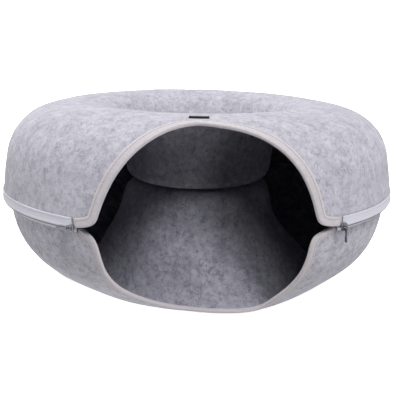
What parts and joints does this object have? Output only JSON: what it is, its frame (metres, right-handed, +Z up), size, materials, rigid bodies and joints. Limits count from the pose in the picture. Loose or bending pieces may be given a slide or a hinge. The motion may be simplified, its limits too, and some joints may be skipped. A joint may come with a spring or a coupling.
{
  "type": "cat tunnel bed",
  "caption": "Round grey felt cat tunnel bed, zipped round the rim, with a sunken dish on top and a bound, eye-shaped mouth at the front.",
  "frame": {"origin": "middle of the bed's box, on the floor", "axes": "+Z up, the mouth faces -Y, +X to the right as seen from the front"},
  "size_m": [0.5992, 0.564, 0.2897],
  "materials": {
    "felt": "matte heathered felt",
    "binding": "smooth woven tape",
    "zip_tape": "woven tape",
    "zip_coil": "satin nylon",
    "metal": "dark nickel plate",
    "label": "plain woven label"
  },
  "bodies": {
    "root": {"upper_felt": "felt", "lower_felt": "felt", "upper_binding": "binding", "lower_binding": "binding", "zip_tape_upper": "zip_tape", "zip_tape_lower": "zip_tape", "zip_coil": "zip_coil", "slider_left": "metal", "slider_right": "metal", "pull_left": "metal", "pull_right": "metal", "label": "label"}
  },
  "joints": []
}
